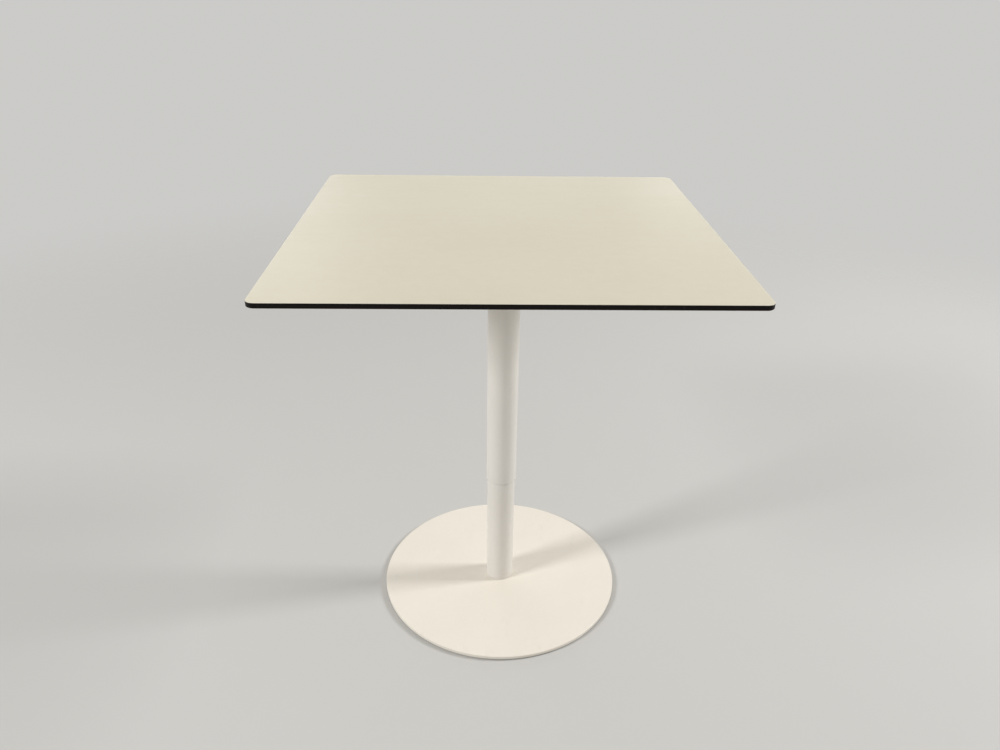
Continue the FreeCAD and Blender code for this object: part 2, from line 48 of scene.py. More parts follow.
class Wire:
    # One output socket. Arithmetic on wires adds Math nodes to their tree.
    def __init__(self, graph, socket):
        self.graph = graph
        self.socket = socket

    def __getitem__(self, output):
        return Wire(self.graph, self.socket.node.outputs[output])

    def __add__(self, other):
        return self.graph.math("ADD", self, other)

    def __radd__(self, other):
        return self.graph.math("ADD", other, self)

    def __sub__(self, other):
        return self.graph.math("SUBTRACT", self, other)

    def __rsub__(self, other):
        return self.graph.math("SUBTRACT", other, self)

    def __mul__(self, other):
        return self.graph.math("MULTIPLY", self, other)

    def __rmul__(self, other):
        return self.graph.math("MULTIPLY", other, self)

    def __truediv__(self, other):
        return self.graph.math("DIVIDE", self, other)

    def __rtruediv__(self, other):
        return self.graph.math("DIVIDE", other, self)

    def __mod__(self, other):
        return self.graph.math("FLOORED_MODULO", self, other)

    def __rmod__(self, other):
        return self.graph.math("FLOORED_MODULO", other, self)

    def __lt__(self, other):
        return self.graph.math("LESS_THAN", self, other)

    def __gt__(self, other):
        return self.graph.math("GREATER_THAN", self, other)

    def __abs__(self):
        return self.graph.math("ABSOLUTE", self)


class Graph:
    def __init__(self, tree):
        self.tree = tree

    # Any node: its type, its settings (set first), then the values or wires of its sockets
    def add(self, kind, settings=None, sockets=None, output=0):
        node = self.tree.nodes.new(kind)
        for name, value in (settings or {}).items():
            setattr(node, name, value)
        for key, value in (sockets or {}).items():
            for item in value if isinstance(value, list) else [value]:
                if isinstance(item, Wire):
                    self.tree.links.new(item.socket, node.inputs[key])
                else:
                    node.inputs[key].default_value = item
        return Wire(self, node.outputs[output]) if node.outputs else node

    def math(self, operation, *values):
        return self.add("ShaderNodeMath", {"operation": operation}, dict(enumerate(values)))

    def vector(self, x, y, z):
        return self.add("ShaderNodeCombineXYZ", {}, {0: x, 1: y, 2: z})

    def parts(self, vector):
        split = self.add("ShaderNodeSeparateXYZ", {}, {0: vector})
        return split[0], split[1], split[2]

    def stretch(self, place, scale, turn=0.0):
        return self.add("ShaderNodeMapping", {}, {0: place, "Rotation": (0, 0, turn),
                                                  "Scale": scale})

    def noise(self, place, scale, detail=2.0, roughness=0.5):
        return self.add("ShaderNodeTexNoise", {}, {"Vector": place, "Scale": scale,
                                                   "Detail": detail, "Roughness": roughness})

    def blend(self, factor, first, second):
        pair = {0: factor, 6: opaque(first), 7: opaque(second)}
        return self.add("ShaderNodeMix", {"data_type": "RGBA"}, pair, 2)

    # 0 below low, 1 above high, smooth between
    def band(self, value, low, high):
        return self.add("ShaderNodeMapRange", {"interpolation_type": "SMOOTHSTEP"},
                        {0: value, 1: low, 2: high})

    def bump(self, height, strength, depth):
        return self.add("ShaderNodeBump", {}, {"Strength": strength, "Distance": depth,
                                               "Height": height})


def opaque(colour):
    return colour if isinstance(colour, Wire) else (*colour, 1.0)


def startFinish(name):
    material = bpy.data.materials.new(name)
    material.use_nodes = True
    material.node_tree.nodes.clear()
    graph = Graph(material.node_tree)
    return material, graph, graph.add("ShaderNodeTexCoord")["Object"]


def closeFinish(graph, sockets):
    shader = graph.add("ShaderNodeBsdfPrincipled", {}, sockets)
    graph.add("ShaderNodeOutputMaterial", {}, {"Surface": shader})


# Small round marks in about one in five of the cells. size is a share of the cell.
def specks(graph, place, scale, size, core=0.6, above=0.8):
    cells = graph.add("ShaderNodeTexVoronoi", {}, {"Vector": place, "Scale": scale})
    pick = graph.parts(cells["Color"])[0]
    return (1 - graph.band(cells["Distance"], size * core, size)) * (pick > above)


# Thin curved lines where a stretched noise crosses its middle value
def hairlines(graph, place, scale, turn, width):
    field = graph.noise(graph.stretch(place, scale, turn), 1.0, detail=1.0)
    return 1 - graph.band(abs(field - 0.5), 0.0, width)


# In the looks, a Scale or Lines is per metre, a Band the two ends of a mask, a Share how much of a
# mask reaches the colour, and a Gloss how much of it reaches the roughness.
faceLook = {"light": (0.701, 0.658, 0.523), "deep": (0.673, 0.625, 0.485),
            "cloudScale": 2.4, "cloudShare": 0.7, "mottleScale": 48.0, "mottleShare": 0.3,
            "toneBand": (0.32, 0.68), "worn": (0.755, 0.720, 0.605),
            "half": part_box("tabletop_core")[1].x, "rubFrom": 0.990, "rubScale": 30.0,
            "rubBand": (0.3, 0.7), "rubShare": 0.5, "rubGloss": -0.06,
            "scratchLines": (3.0, 34.0, 1.0), "scratchTurn": 1.1, "scratchWidth": 0.006,
            "scratchBand": (0.5, 0.62), "scratchShare": 0.12, "scratchGloss": 0.08,
            "wipeLines": (5.0, 44.0, 1.0), "wipeTurn": 0.5, "wipeGloss": 0.14,
            "roughness": 0.35, "ior": 1.5,
            "pearlScale": 1300.0, "pearlBump": 0.55, "pearlDepth": 0.00016,
            "paper": 0.15 * mm, "resin": (0.0060, 0.0050, 0.0044),
            "node": "tabletop_face", "outside": 1}
backingLook = {**faceLook, "light": (0.670, 0.630, 0.510), "deep": (0.630, 0.585, 0.460),
               "roughness": 0.55, "node": "tabletop_backing", "outside": 0}


# Decor sheet: clouded cream, a pearl grain, wipe marks in the gloss, edges rubbed pale, and dark
# resin below the printed paper
def decorFinish(name, look):
    material, graph, place = startFinish(name)
    cloud = graph.noise(place, look["cloudScale"], detail=3.0)
    mottle = graph.noise(place, look["mottleScale"], detail=3.0)
    tone = cloud * look["cloudShare"] + mottle * look["mottleShare"]
    colour = graph.blend(graph.band(tone, *look["toneBand"]), look["light"], look["deep"])
    x, y, z = graph.parts(place)
    rim = graph.math("MAXIMUM", abs(x), abs(y)) / look["half"]
    patches = graph.band(graph.noise(place, look["rubScale"], detail=3.0), *look["rubBand"])
    rub = graph.band(rim, look["rubFrom"], 1.0) * patches
    scratch = hairlines(graph, place, look["scratchLines"], look["scratchTurn"],
                        look["scratchWidth"]) * graph.band(cloud, *look["scratchBand"])
    wear = rub * look["rubShare"] + scratch * look["scratchShare"]
    colour = graph.blend(wear, colour, look["worn"])
    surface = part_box(look["node"])[look["outside"]].z
    colour = graph.blend(abs(z - surface) > look["paper"], colour, look["resin"])
    wipe = graph.noise(graph.stretch(place, look["wipeLines"], look["wipeTurn"]), 1.0, detail=3.0)
    roughness = look["roughness"] + (wipe - 0.5) * look["wipeGloss"]
    roughness = roughness + rub * look["rubGloss"] + scratch * look["scratchGloss"]
    pearl = graph.noise(place, look["pearlScale"], roughness=0.6)
    closeFinish(graph, {"Base Color": colour, "Roughness": roughness, "IOR": look["ior"],
                        "Normal": graph.bump(pearl, look["pearlBump"], look["pearlDepth"])})
    return material


coreLook = {"dark": (0.0028, 0.0021, 0.0018), "brown": (0.0082, 0.0060, 0.0050),
            "sheetLines": (5.0, 5.0, 3200.0), "sheetBand": (0.35, 0.65), "sheetGloss": 0.10,
            "sheetRelief": 0.6, "cutterLines": (560.0, 560.0, 18.0), "cutterRelief": 0.4,
            "scuff": (0.040, 0.034, 0.029), "scuffScale": 85.0, "scuffBand": (0.60, 0.74),
            "scuffShare": 0.4, "scuffGloss": 0.18, "roughness": 0.36, "specular": 0.12,
            "bump": 0.35, "depth": 0.00008}


# Edge of the compact core: paper layers along it, cutter marks up it, a few scuffs
def coreFinish(name, look):
    material, graph, place = startFinish(name)
    sheet = graph.noise(graph.stretch(place, look["sheetLines"]), 1.0)
    cutter = graph.noise(graph.stretch(place, look["cutterLines"]), 1.0)
    scuff = graph.noise(place, look["scuffScale"], detail=4.0, roughness=0.65)
    scuff = graph.band(scuff, *look["scuffBand"])
    colour = graph.blend(graph.band(sheet, *look["sheetBand"]), look["dark"], look["brown"])
    colour = graph.blend(scuff * look["scuffShare"], colour, look["scuff"])
    roughness = look["roughness"] + sheet * look["sheetGloss"] + scuff * look["scuffGloss"]
    relief = sheet * look["sheetRelief"] + cutter * look["cutterRelief"]
    closeFinish(graph, {"Base Color": colour, "Roughness": roughness,
                        "Normal": graph.bump(relief, look["bump"], look["depth"]),
                        "Specular IOR Level": look["specular"]})
    return material


# One white powder coat in two copies, as painted light: the column's copy is painted darker, and
# the base plate's lighter and warmer, for the light that falls on each.
columnCoatShadedLook = {"light": (0.778, 0.750, 0.705), "shade": (0.751, 0.718, 0.669),
            "toneScale": 3.6, "toneShare": 0.75, "toneGloss": 0.10,
            "dustScale": 140.0, "dustShare": 0.25, "dustGloss": 0.06, "toneBand": (0.3, 0.7),
            "speck": (0.36, 0.33, 0.29), "speckScale": 21.0, "speckSize": 0.026,
            "speckShare": 0.55, "roughness": 0.34, "ior": 1.5,
            "peelScale": 430.0, "peelRelief": 0.85, "grainScale": 2600.0, "grainRelief": 0.15,
            "bump": 0.60, "depth": 0.00028, "scuffShare": 0.0}
baseCoatLitLook = {**columnCoatShadedLook, "light": (0.854, 0.807, 0.726), "shade": (0.819, 0.767, 0.683),
                "roughness": 0.40, "speckScale": 26.0, "grime": (0.60, 0.57, 0.52),
                "scuffLines": (26.0, 9.0, 20.0), "scuffTurn": 0.7, "scuffBand": (0.56, 0.72),
                "scuffReach": (0.09, 0.24), "scuffShare": 0.16, "scuffGloss": 0.12,
                "footRing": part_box("lower_tube")[1].x, "ringWidth": 1.2 * mm, "ringShare": 0.30,
                "topSide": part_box("base_plate")[1].z - 3.0 * mm}


# Powder coat: orange peel, a fine grain and pinhead specks. On the base also scuffs where feet
# reach it, and a dark ring round the column's foot: soiling in the corner and painted contact
# shade.
def coatFinish(name, look):
    material, graph, place = startFinish(name)
    tone = graph.noise(place, look["toneScale"], detail=3.0)
    dust = graph.noise(place, look["dustScale"], detail=3.0, roughness=0.6)
    shade = graph.band(tone * look["toneShare"] + dust * look["dustShare"], *look["toneBand"])
    colour = graph.blend(shade, look["light"], look["shade"])
    roughness = look["roughness"] + (tone - 0.5) * look["toneGloss"]
    roughness = roughness + (dust - 0.5) * look["dustGloss"]
    if look["scuffShare"]:
        x, y, z = graph.parts(place)
        reach = graph.math("SQRT", x * x + y * y)
        drag = graph.noise(graph.stretch(place, look["scuffLines"], look["scuffTurn"]), 1.0,
                           detail=5.0, roughness=0.65)
        scuff = graph.band(drag, *look["scuffBand"]) * graph.band(reach, *look["scuffReach"])
        # Painted contact shade, with some soiling: a darker ring on the plate round the column's
        # foot
        ring = 1 - graph.band(reach, look["footRing"], look["footRing"] + look["ringWidth"])
        ring = ring * (z > look["topSide"])
        dirtAndShade = scuff * look["scuffShare"] + ring * look["ringShare"]
        colour = graph.blend(dirtAndShade, colour, look["grime"])
        roughness = roughness + scuff * look["scuffGloss"]
    mark = specks(graph, place, look["speckScale"], look["speckSize"]) * look["speckShare"]
    peel = graph.noise(place, look["peelScale"], detail=1.5)
    grain = graph.noise(place, look["grainScale"], detail=1.0)
    relief = peel * look["peelRelief"] + grain * look["grainRelief"]
    closeFinish(graph, {"Base Color": graph.blend(mark, colour, look["speck"]),
                        "Roughness": roughness, "IOR": look["ior"],
                        "Normal": graph.bump(relief, look["bump"], look["depth"])})
    return material


# Worked metals. lines is how often the tool marks change along each axis.
metalLooks = {
    "zinc_steel": {"bright": (0.60, 0.61, 0.60), "dull": (0.36, 0.36, 0.34), "roughness": 0.30,
                   "lineGloss": 0.26, "lines": (260.0, 260.0, 260.0), "depth": 0.00006},
    "bright_steel": {"bright": (0.74, 0.74, 0.75), "dull": (0.62, 0.62, 0.63), "roughness": 0.14,
                     "lineGloss": 0.14, "lines": (18.0, 1500.0, 1500.0), "depth": 0.00003},
    "ground_steel": {"bright": (0.74, 0.74, 0.75), "dull": (0.60, 0.60, 0.61), "roughness": 0.12,
                     "lineGloss": 0.12, "lines": (1500.0, 1500.0, 22.0), "depth": 0.00003},
    "spring_steel": {"bright": (0.30, 0.29, 0.28), "dull": (0.16, 0.15, 0.15), "roughness": 0.34,
                     "lineGloss": 0.2, "lines": (420.0, 420.0, 420.0), "depth": 0.00005},
    "brass": {"bright": (0.76, 0.58, 0.27), "dull": (0.60, 0.43, 0.18), "roughness": 0.26,
              "lineGloss": 0.2, "lines": (90.0, 90.0, 2400.0), "depth": 0.00005},
    "cast_alloy": {"bright": (0.70, 0.70, 0.71), "dull": (0.56, 0.56, 0.57), "roughness": 0.42,
                   "lineGloss": 0.2, "lines": (640.0, 640.0, 640.0), "depth": 0.00018},
}
metalWear = {"stainScale": 38.0, "stainBand": (0.35, 0.70), "stainShare": 0.6, "stainGloss": 0.08,
             "lineShare": 0.4, "bump": 0.35}


def metalFinish(name, look):
    material, graph, place = startFinish(name)
    lines = graph.noise(graph.stretch(place, look["lines"]), 1.0, roughness=0.6)
    stain = graph.noise(place, metalWear["stainScale"], detail=4.0, roughness=0.6)
    stain = graph.band(stain, *metalWear["stainBand"])
    wear = stain * metalWear["stainShare"] + lines * metalWear["lineShare"]
    roughness = look["roughness"] + (lines - 0.5) * look["lineGloss"]
    closeFinish(graph, {"Base Color": graph.blend(wear, look["bright"], look["dull"]),
                        "Roughness": roughness + stain * metalWear["stainGloss"],
                        "Normal": graph.bump(lines, metalWear["bump"], look["depth"]),
                        "Metallic": 1.0})
    return material


# Moulded and painted dark pieces. grain is the tool texture's fineness.
mouldLooks = {
    # The guide polymer is grey rather than white, as painted shade: its lip stands for the shadow
    # line under the upper tube's end.
    "guide_polymer": {"base": (0.58, 0.57, 0.53), "rubbed": (0.46, 0.45, 0.42),
                      "roughness": 0.48, "grain": 900.0, "depth": 0.00008},
    "glide_polymer": {"base": (0.060, 0.060, 0.062), "rubbed": (0.150, 0.145, 0.140),
                      "roughness": 0.52, "grain": 700.0, "depth": 0.00015},
    "grip_polymer": {"base": (0.018, 0.018, 0.019), "rubbed": (0.048, 0.047, 0.046),
                     "roughness": 0.50, "grain": 1500.0, "depth": 0.00014},
    "black_coat": {"base": (0.020, 0.020, 0.021), "rubbed": (0.065, 0.064, 0.062),
                   "roughness": 0.30, "grain": 520.0, "depth": 0.00012},
    "seal_rubber": {"base": (0.016, 0.016, 0.016), "rubbed": (0.040, 0.039, 0.038),
                    "roughness": 0.68, "grain": 1100.0, "depth": 0.00010},
}
mouldWear = {"hazeScale": 60.0, "hazeGloss": 0.16, "rubBand": (0.52, 0.78), "rubShare": 0.55,
             "scratchLines": (30.0, 260.0, 30.0), "scratchTurn": 0.4, "scratchWidth": 0.02,
             "scratchBand": (0.45, 0.6), "scratchShare": 0.35, "pitGloss": 0.06, "bump": 0.45,
             "ior": 1.49}


def mouldFinish(name, look):
    material, graph, place = startFinish(name)
    pits = graph.add("ShaderNodeTexVoronoi", {}, {"Vector": place, "Scale": look["grain"]})
    pits = pits["Distance"]
    haze = graph.noise(place, mouldWear["hazeScale"], detail=4.0, roughness=0.6)
    scratch = hairlines(graph, place, mouldWear["scratchLines"], mouldWear["scratchTurn"],
                        mouldWear["scratchWidth"]) * graph.band(haze, *mouldWear["scratchBand"])
    wear = graph.band(haze, *mouldWear["rubBand"]) * mouldWear["rubShare"]
    wear = wear + scratch * mouldWear["scratchShare"]
    roughness = look["roughness"] + (haze - 0.5) * mouldWear["hazeGloss"]
    closeFinish(graph, {"Base Color": graph.blend(wear, look["base"], look["rubbed"]),
                        "Roughness": roughness + pits * mouldWear["pitGloss"],
                        "Normal": graph.bump(pits, mouldWear["bump"], look["depth"]),
                        "IOR": mouldWear["ior"]})
    return material


finishes = {name: metalFinish(name, look) for name, look in metalLooks.items()}
finishes.update({name: mouldFinish(name, look) for name, look in mouldLooks.items()})
finishes["pale_decor"] = decorFinish("paleDecorFace", faceLook)
finishes["backing"] = decorFinish("paleDecorBacking", backingLook)
finishes["dark_core"] = coreFinish("darkCore", coreLook)
# The column's and the base plate's coats are lit and shaded copies of one white paint: painted
# light.
finishes["white_coat"] = coatFinish("whiteCoatColumnShaded", columnCoatShadedLook)
finishes["base_coat"] = coatFinish("whiteCoatBaseLit", baseCoatLitLook)
print("finishes:", len(finishes))


# Detail that all node trees share: sides of their small round forms, and how near points are merged
sides = {"drill": 40, "bead": 12, "rod": 32, "hoop": 56, "ring": 10}
merge = {"cut": 0.005 * mm, "seam": 0.002 * mm}


def newTree(name, inputs):
    tree = bpy.data.node_groups.new(name, "GeometryNodeTree")
    tree.interface.new_socket(name="Profile", in_out="INPUT", socket_type="NodeSocketGeometry")
    for label, kind in inputs.items():
        tree.interface.new_socket(name=label, in_out="INPUT", socket_type="NodeSocket" + kind)
    tree.interface.new_socket(name="Geometry", in_out="OUTPUT", socket_type="NodeSocketGeometry")
    graph = Graph(tree)
    return tree, graph, graph.add("NodeGroupInput")


def realized(graph, geometry):
    return graph.add("GeometryNodeRealizeInstances", {}, {0: geometry})


def closeTree(graph, geometry, material):
    painted = graph.add("GeometryNodeSetMaterial", {}, {0: realized(graph, geometry),
                                                        "Material": material})
    graph.add("NodeGroupOutput", {}, {"Geometry": painted})


def moved(graph, geometry, place=(0, 0, 0), turn=(0, 0, 0)):
    return graph.add("GeometryNodeTransform", {}, {0: geometry, "Translation": place,
                                                   "Rotation": turn})


def welded(graph, mesh, distance):
    return graph.add("GeometryNodeMergeByDistance", {}, {0: mesh, "Distance": distance})


def cut(graph, solid, tools):
    left = graph.add("GeometryNodeMeshBoolean", {"operation": "DIFFERENCE", "solver": "EXACT"},
                     {0: solid, 1: tools})
    return welded(graph, left, merge["cut"])


def cylinder(graph, count, radius, depth):
    return graph.add("GeometryNodeMeshCylinder", {}, {"Vertices": count, "Radius": radius,
                                                      "Depth": depth})


def hoop(graph, count, radius):
    return graph.add("GeometryNodeCurvePrimitiveCircle", {}, {"Resolution": count,
                                                              "Radius": radius})


# Places on a circle, the first one at an angle from +X
def ringPlaces(graph, count, radius, start=0.0):
    ring = graph.add("GeometryNodeMeshCircle", {}, {"Vertices": count, "Radius": radius})
    return moved(graph, ring, turn=graph.vector(0.0, 0.0, start))


# Places of the screws that hold the panel: three by three without the middle
def squareOfEight(graph, reach):
    span = reach * 2
    grid = graph.add("GeometryNodeMeshGrid", {}, {"Size X": span, "Size Y": span,
                                                  "Vertices X": 3, "Vertices Y": 3})
    x, y, z = graph.parts(graph.add("GeometryNodeInputPosition"))
    middle = abs(x) + abs(y) < reach / 2
    return graph.add("GeometryNodeDeleteGeometry", {"domain": "POINT"},
                     {0: grid, "Selection": middle})


def copies(graph, points, shape):
    placed = graph.add("GeometryNodeInstanceOnPoints", {}, {"Points": points, "Instance": shape})
    return realized(graph, placed)


# Copies that are each turned to an angle of their own
def spunCopies(graph, points, shape, seed):
    spin = graph.add("FunctionNodeRandomValue", {"data_type": "FLOAT"},
                     {2: 0.0, 3: math.tau, "Seed": seed}, 1)
    return graph.add("GeometryNodeInstanceOnPoints", {}, {
        "Points": points, "Instance": shape, "Rotation": graph.vector(0.0, 0.0, spin)})


# Straight drills of one radius between two heights, one at each point
def drills(graph, points, radius, low, high):
    drill = cylinder(graph, sides["drill"], radius, high - low)
    return copies(graph, points, moved(graph, drill, graph.vector(0.0, 0.0, (high + low) / 2)))


# A grid with one row for each point of the profile, each grid point's share of the turn, and the
# profile's point in its row
def profileGrid(graph, profile, columns):
    rows = graph.add("GeometryNodeAttributeDomainSize", {}, {0: profile})["Point Count"]
    grid = graph.add("GeometryNodeMeshGrid", {}, {"Size X": 1.0, "Size Y": 1.0,
                                                  "Vertices X": columns + 1, "Vertices Y": rows})
    place = graph.add("GeometryNodeInputPosition")
    across, along, flat = graph.parts(place)
    row = graph.math("ROUND", (along + 0.5) * (rows - 1))
    sampled = graph.add("GeometryNodeSampleIndex",
                        {"data_type": "FLOAT_VECTOR", "domain": "POINT"},
                        {"Geometry": profile, "Value": place, "Index": row})
    return grid, across + 0.5, graph.parts(sampled)


def shaped(graph, grid, position):
    placed = graph.add("GeometryNodeSetPosition", {}, {0: grid, "Position": position})
    return welded(graph, placed, merge["seam"])


# Turned shape: the profile's points (distance from the axis, 0, height) carried round the axis
def turnedTree():
    tree, graph, given = newTree("turnedShape", {"Steps": "Int"})
    grid, share, (reach, unused, height) = profileGrid(graph, given["Profile"], given["Steps"])
    angle = share * math.tau
    position = graph.vector(reach * graph.math("COSINE", angle),
                            reach * graph.math("SINE", angle), height)
    graph.add("NodeGroupOutput", {}, {"Geometry": shaped(graph, grid, position)})
    return tree


turnedShape = turnedTree()


def turned(graph, given):
    return graph.add("GeometryNodeGroup", {"node_tree": turnedShape},
                     {"Profile": given["Profile"], "Steps": given["Steps"]})


def turnedPieceTree():
    tree, graph, given = newTree("turnedPiece", {"Steps": "Int", "Material": "Material"})
    closeTree(graph, turned(graph, given), given["Material"])
    return tree


# Rounded square slab: the profile's points are (1 on the rim or 0 at the middle, inset, height)
slabInputs = {"Side": "Float", "Corner Radius": "Float", "Corner Steps": "Int",
              "Material": "Material"}


def slabShape(graph, given):
    perCorner = given["Corner Steps"] + 1
    columns = perCorner * 4
    grid, share, (onRim, inset, height) = profileGrid(graph, given["Profile"], columns)
    column = graph.math("ROUND", share * columns)
    quarter = graph.math("FLOOR", column / perCorner)
    angle = (quarter + (column % perCorner) / given["Corner Steps"]) * (math.pi / 2)
    corner = (quarter + 0.5) * (math.pi / 2)
    middle = (given["Side"] / 2 - given["Corner Radius"]) * math.sqrt(2)
    radius = given["Corner Radius"] - inset
    x = onRim * (middle * graph.math("COSINE", corner) + radius * graph.math("COSINE", angle))
    y = onRim * (middle * graph.math("SINE", corner) + radius * graph.math("SINE", angle))
    return shaped(graph, grid, graph.vector(x, y, height))


def slabTree():
    tree, graph, given = newTree("roundedSlab", slabInputs)
    closeTree(graph, slabShape(graph, given), given["Material"])
    return tree


def drilledSlabTree():
    tree, graph, given = newTree("drilledSlab", {
        **slabInputs, "Hole Reach": "Float", "Hole Radius": "Float", "Hole Low": "Float",
        "Hole High": "Float"})
    holes = drills(graph, squareOfEight(graph, given["Hole Reach"]), given["Hole Radius"],
                   given["Hole Low"], given["Hole High"])
    closeTree(graph, cut(graph, slabShape(graph, given), holes), given["Material"])
    return tree


# Tube with a round-ended slot through its +X wall, for the lever
def slottedTubeTree():
    tree, graph, given = newTree("slottedTube", {
        "Steps": "Int", "Slot Width": "Float", "Slot Low": "Float", "Slot High": "Float",
        "Reach": "Float", "Material": "Material"})
    drill = cylinder(graph, sides["drill"], given["Slot Width"] / 2, given["Reach"])
    laid = moved(graph, drill, turn=(0, math.pi / 2, 0))
    ends = [moved(graph, laid, graph.vector(given["Reach"], 0.0, given[level]))
            for level in ("Slot Low", "Slot High")]
    pair = graph.add("GeometryNodeJoinGeometry", {}, {0: ends})
    cutter = graph.add("GeometryNodeConvexHull", {}, {0: pair})
    closeTree(graph, cut(graph, turned(graph, given), cutter), given["Material"])
    return tree


# Round plate with countersunk screw holes and blind holes for the glides, all from its underside.
# The tools start an Overrun below the plate, and the countersinks are at 45 degrees.
def drilledPlateTree():
    tree, graph, given = newTree("drilledPlate", {
        "Steps": "Int", "Holes": "Int", "Hole Circle": "Float", "Hole Start": "Float",
        "Head Radius": "Float", "Shank Radius": "Float", "Stubs": "Int", "Stub Circle": "Float",
        "Stub Radius": "Float", "Stub Top": "Float", "Low": "Float", "High": "Float",
        "Overrun": "Float", "Material": "Material"})
    below, above = given["Low"] - given["Overrun"], given["High"] + given["Overrun"]
    holes = ringPlaces(graph, given["Holes"], given["Hole Circle"], given["Hole Start"])
    stubs = ringPlaces(graph, given["Stubs"], given["Stub Circle"])
    mouth = given["Head Radius"] + given["Overrun"]
    cone = graph.add("GeometryNodeMeshCone", {}, {
        "Vertices": sides["drill"], "Radius Top": given["Shank Radius"], "Radius Bottom": mouth,
        "Depth": mouth - given["Shank Radius"]})
    tools = [copies(graph, holes, moved(graph, cone, graph.vector(0.0, 0.0, below))),
             drills(graph, holes, given["Shank Radius"], below, above),
             drills(graph, stubs, given["Stub Radius"], below, given["Stub Top"])]
    closeTree(graph, cut(graph, turned(graph, given), tools), given["Material"])
    return tree


# Socket-head screws, with a six-sided drive sunk in from below
screwInputs = {"Steps": "Int", "Drive Width": "Float", "Drive Face": "Float",
               "Drive Depth": "Float", "Seed": "Int", "Material": "Material"}


def drivenScrew(graph, given):
    drive = cylinder(graph, 6, given["Drive Width"] / math.sqrt(3), given["Drive Depth"] * 2)
    drive = moved(graph, drive, graph.vector(0.0, 0.0, given["Drive Face"]))
    return cut(graph, turned(graph, given), drive)


def screwGridTree():
    tree, graph, given = newTree("screwGrid", {**screwInputs, "Reach": "Float"})
    screws = spunCopies(graph, squareOfEight(graph, given["Reach"]), drivenScrew(graph, given),
                        given["Seed"])
    closeTree(graph, screws, given["Material"])
    return tree


def screwRingTree():
    tree, graph, given = newTree("screwRing", {**screwInputs, "Count": "Int", "Circle": "Float",
                                               "Start": "Float"})
    ring = ringPlaces(graph, given["Count"], given["Circle"], given["Start"])
    screws = spunCopies(graph, ring, drivenScrew(graph, given), given["Seed"])
    closeTree(graph, screws, given["Material"])
    return tree


def glideRingTree():
    tree, graph, given = newTree("glideRing", {"Steps": "Int", "Count": "Int", "Circle": "Float",
                                               "Seed": "Int", "Material": "Material"})
    ring = ringPlaces(graph, given["Count"], given["Circle"])
    glides = spunCopies(graph, ring, turned(graph, given), given["Seed"])
    closeTree(graph, glides, given["Material"])
    return tree


# Weld bead: one swept ring whose section swells and falls off at each ripple, no two alike
def weldBeadTree():
    tree, graph, given = newTree("weldBead", {
        "Circle": "Float", "Height": "Float", "Ripples": "Int", "Steps": "Int", "Bead": "Float",
        "Least": "Float", "Most": "Float", "Fall": "Float", "Seed": "Int",
        "Material": "Material"})
    path = hoop(graph, given["Ripples"] * given["Steps"], given["Circle"])
    path = moved(graph, path, graph.vector(0.0, 0.0, given["Height"]))
    along = graph.add("GeometryNodeSplineParameter")["Index"] / given["Steps"]
    ripple = graph.math("FLOOR", along)
    size = graph.add("FunctionNodeRandomValue", {"data_type": "FLOAT"},
                     {2: given["Least"], 3: given["Most"], "ID": ripple, "Seed": given["Seed"]}, 1)
    section = hoop(graph, sides["bead"], given["Bead"])
    bead = graph.add("GeometryNodeCurveToMesh", {}, {
        0: path, "Profile Curve": section, "Scale": size - (along - ripple) * given["Fall"]})
    closeTree(graph, bead, given["Material"])
    return tree


# Rod bent along the profile's points
def bentRodTree():
    tree, graph, given = newTree("bentRod", {"Radius": "Float", "Bend Radius": "Float",
                                             "Steps": "Int", "Material": "Material"})
    path = graph.add("GeometryNodeMeshToCurve", {}, {0: given["Profile"]})
    bent = graph.add("GeometryNodeFilletCurve", {"mode": "POLY"}, {
        0: path, "Count": given["Steps"], "Radius": given["Bend Radius"]})
    section = hoop(graph, sides["rod"], given["Radius"])
    rod = graph.add("GeometryNodeCurveToMesh", {}, {0: bent, "Profile Curve": section,
                                                    "Fill Caps": True})
    closeTree(graph, rod, given["Material"])
    return tree


# Grip laid along X: a turned body with raised rings round its belly
def ribbedGripTree():
    tree, graph, given = newTree("ribbedGrip", {
        "Steps": "Int", "Start": "Vector", "Rings": "Int", "First": "Float", "Pitch": "Float",
        "Belly": "Float", "Ring": "Float", "Material": "Material"})
    ring = graph.add("GeometryNodeCurveToMesh", {}, {
        0: hoop(graph, sides["hoop"], given["Belly"]),
        "Profile Curve": hoop(graph, sides["ring"], given["Ring"])})
    line = graph.add("GeometryNodeMeshLine", {}, {
        "Count": given["Rings"], "Start Location": graph.vector(0.0, 0.0, given["First"]),
        "Offset": graph.vector(0.0, 0.0, given["Pitch"])})
    whole = graph.add("GeometryNodeMeshBoolean", {"operation": "UNION", "solver": "EXACT"},
                      {1: [turned(graph, given), copies(graph, line, ring)]})
    laid = moved(graph, welded(graph, whole, merge["cut"]), given["Start"], (0, math.pi / 2, 0))
    closeTree(graph, laid, given["Material"])
    return tree


turnedPiece = turnedPieceTree()
roundedSlab = slabTree()
drilledSlab = drilledSlabTree()
slottedTube = slottedTubeTree()
drilledPlate = drilledPlateTree()
screwGrid = screwGridTree()
screwRing = screwRingTree()
glideRing = glideRingTree()
weldBead = weldBeadTree()
bentRod = bentRodTree()
ribbedGrip = ribbedGripTree()
print("node trees:", len(bpy.data.node_groups))


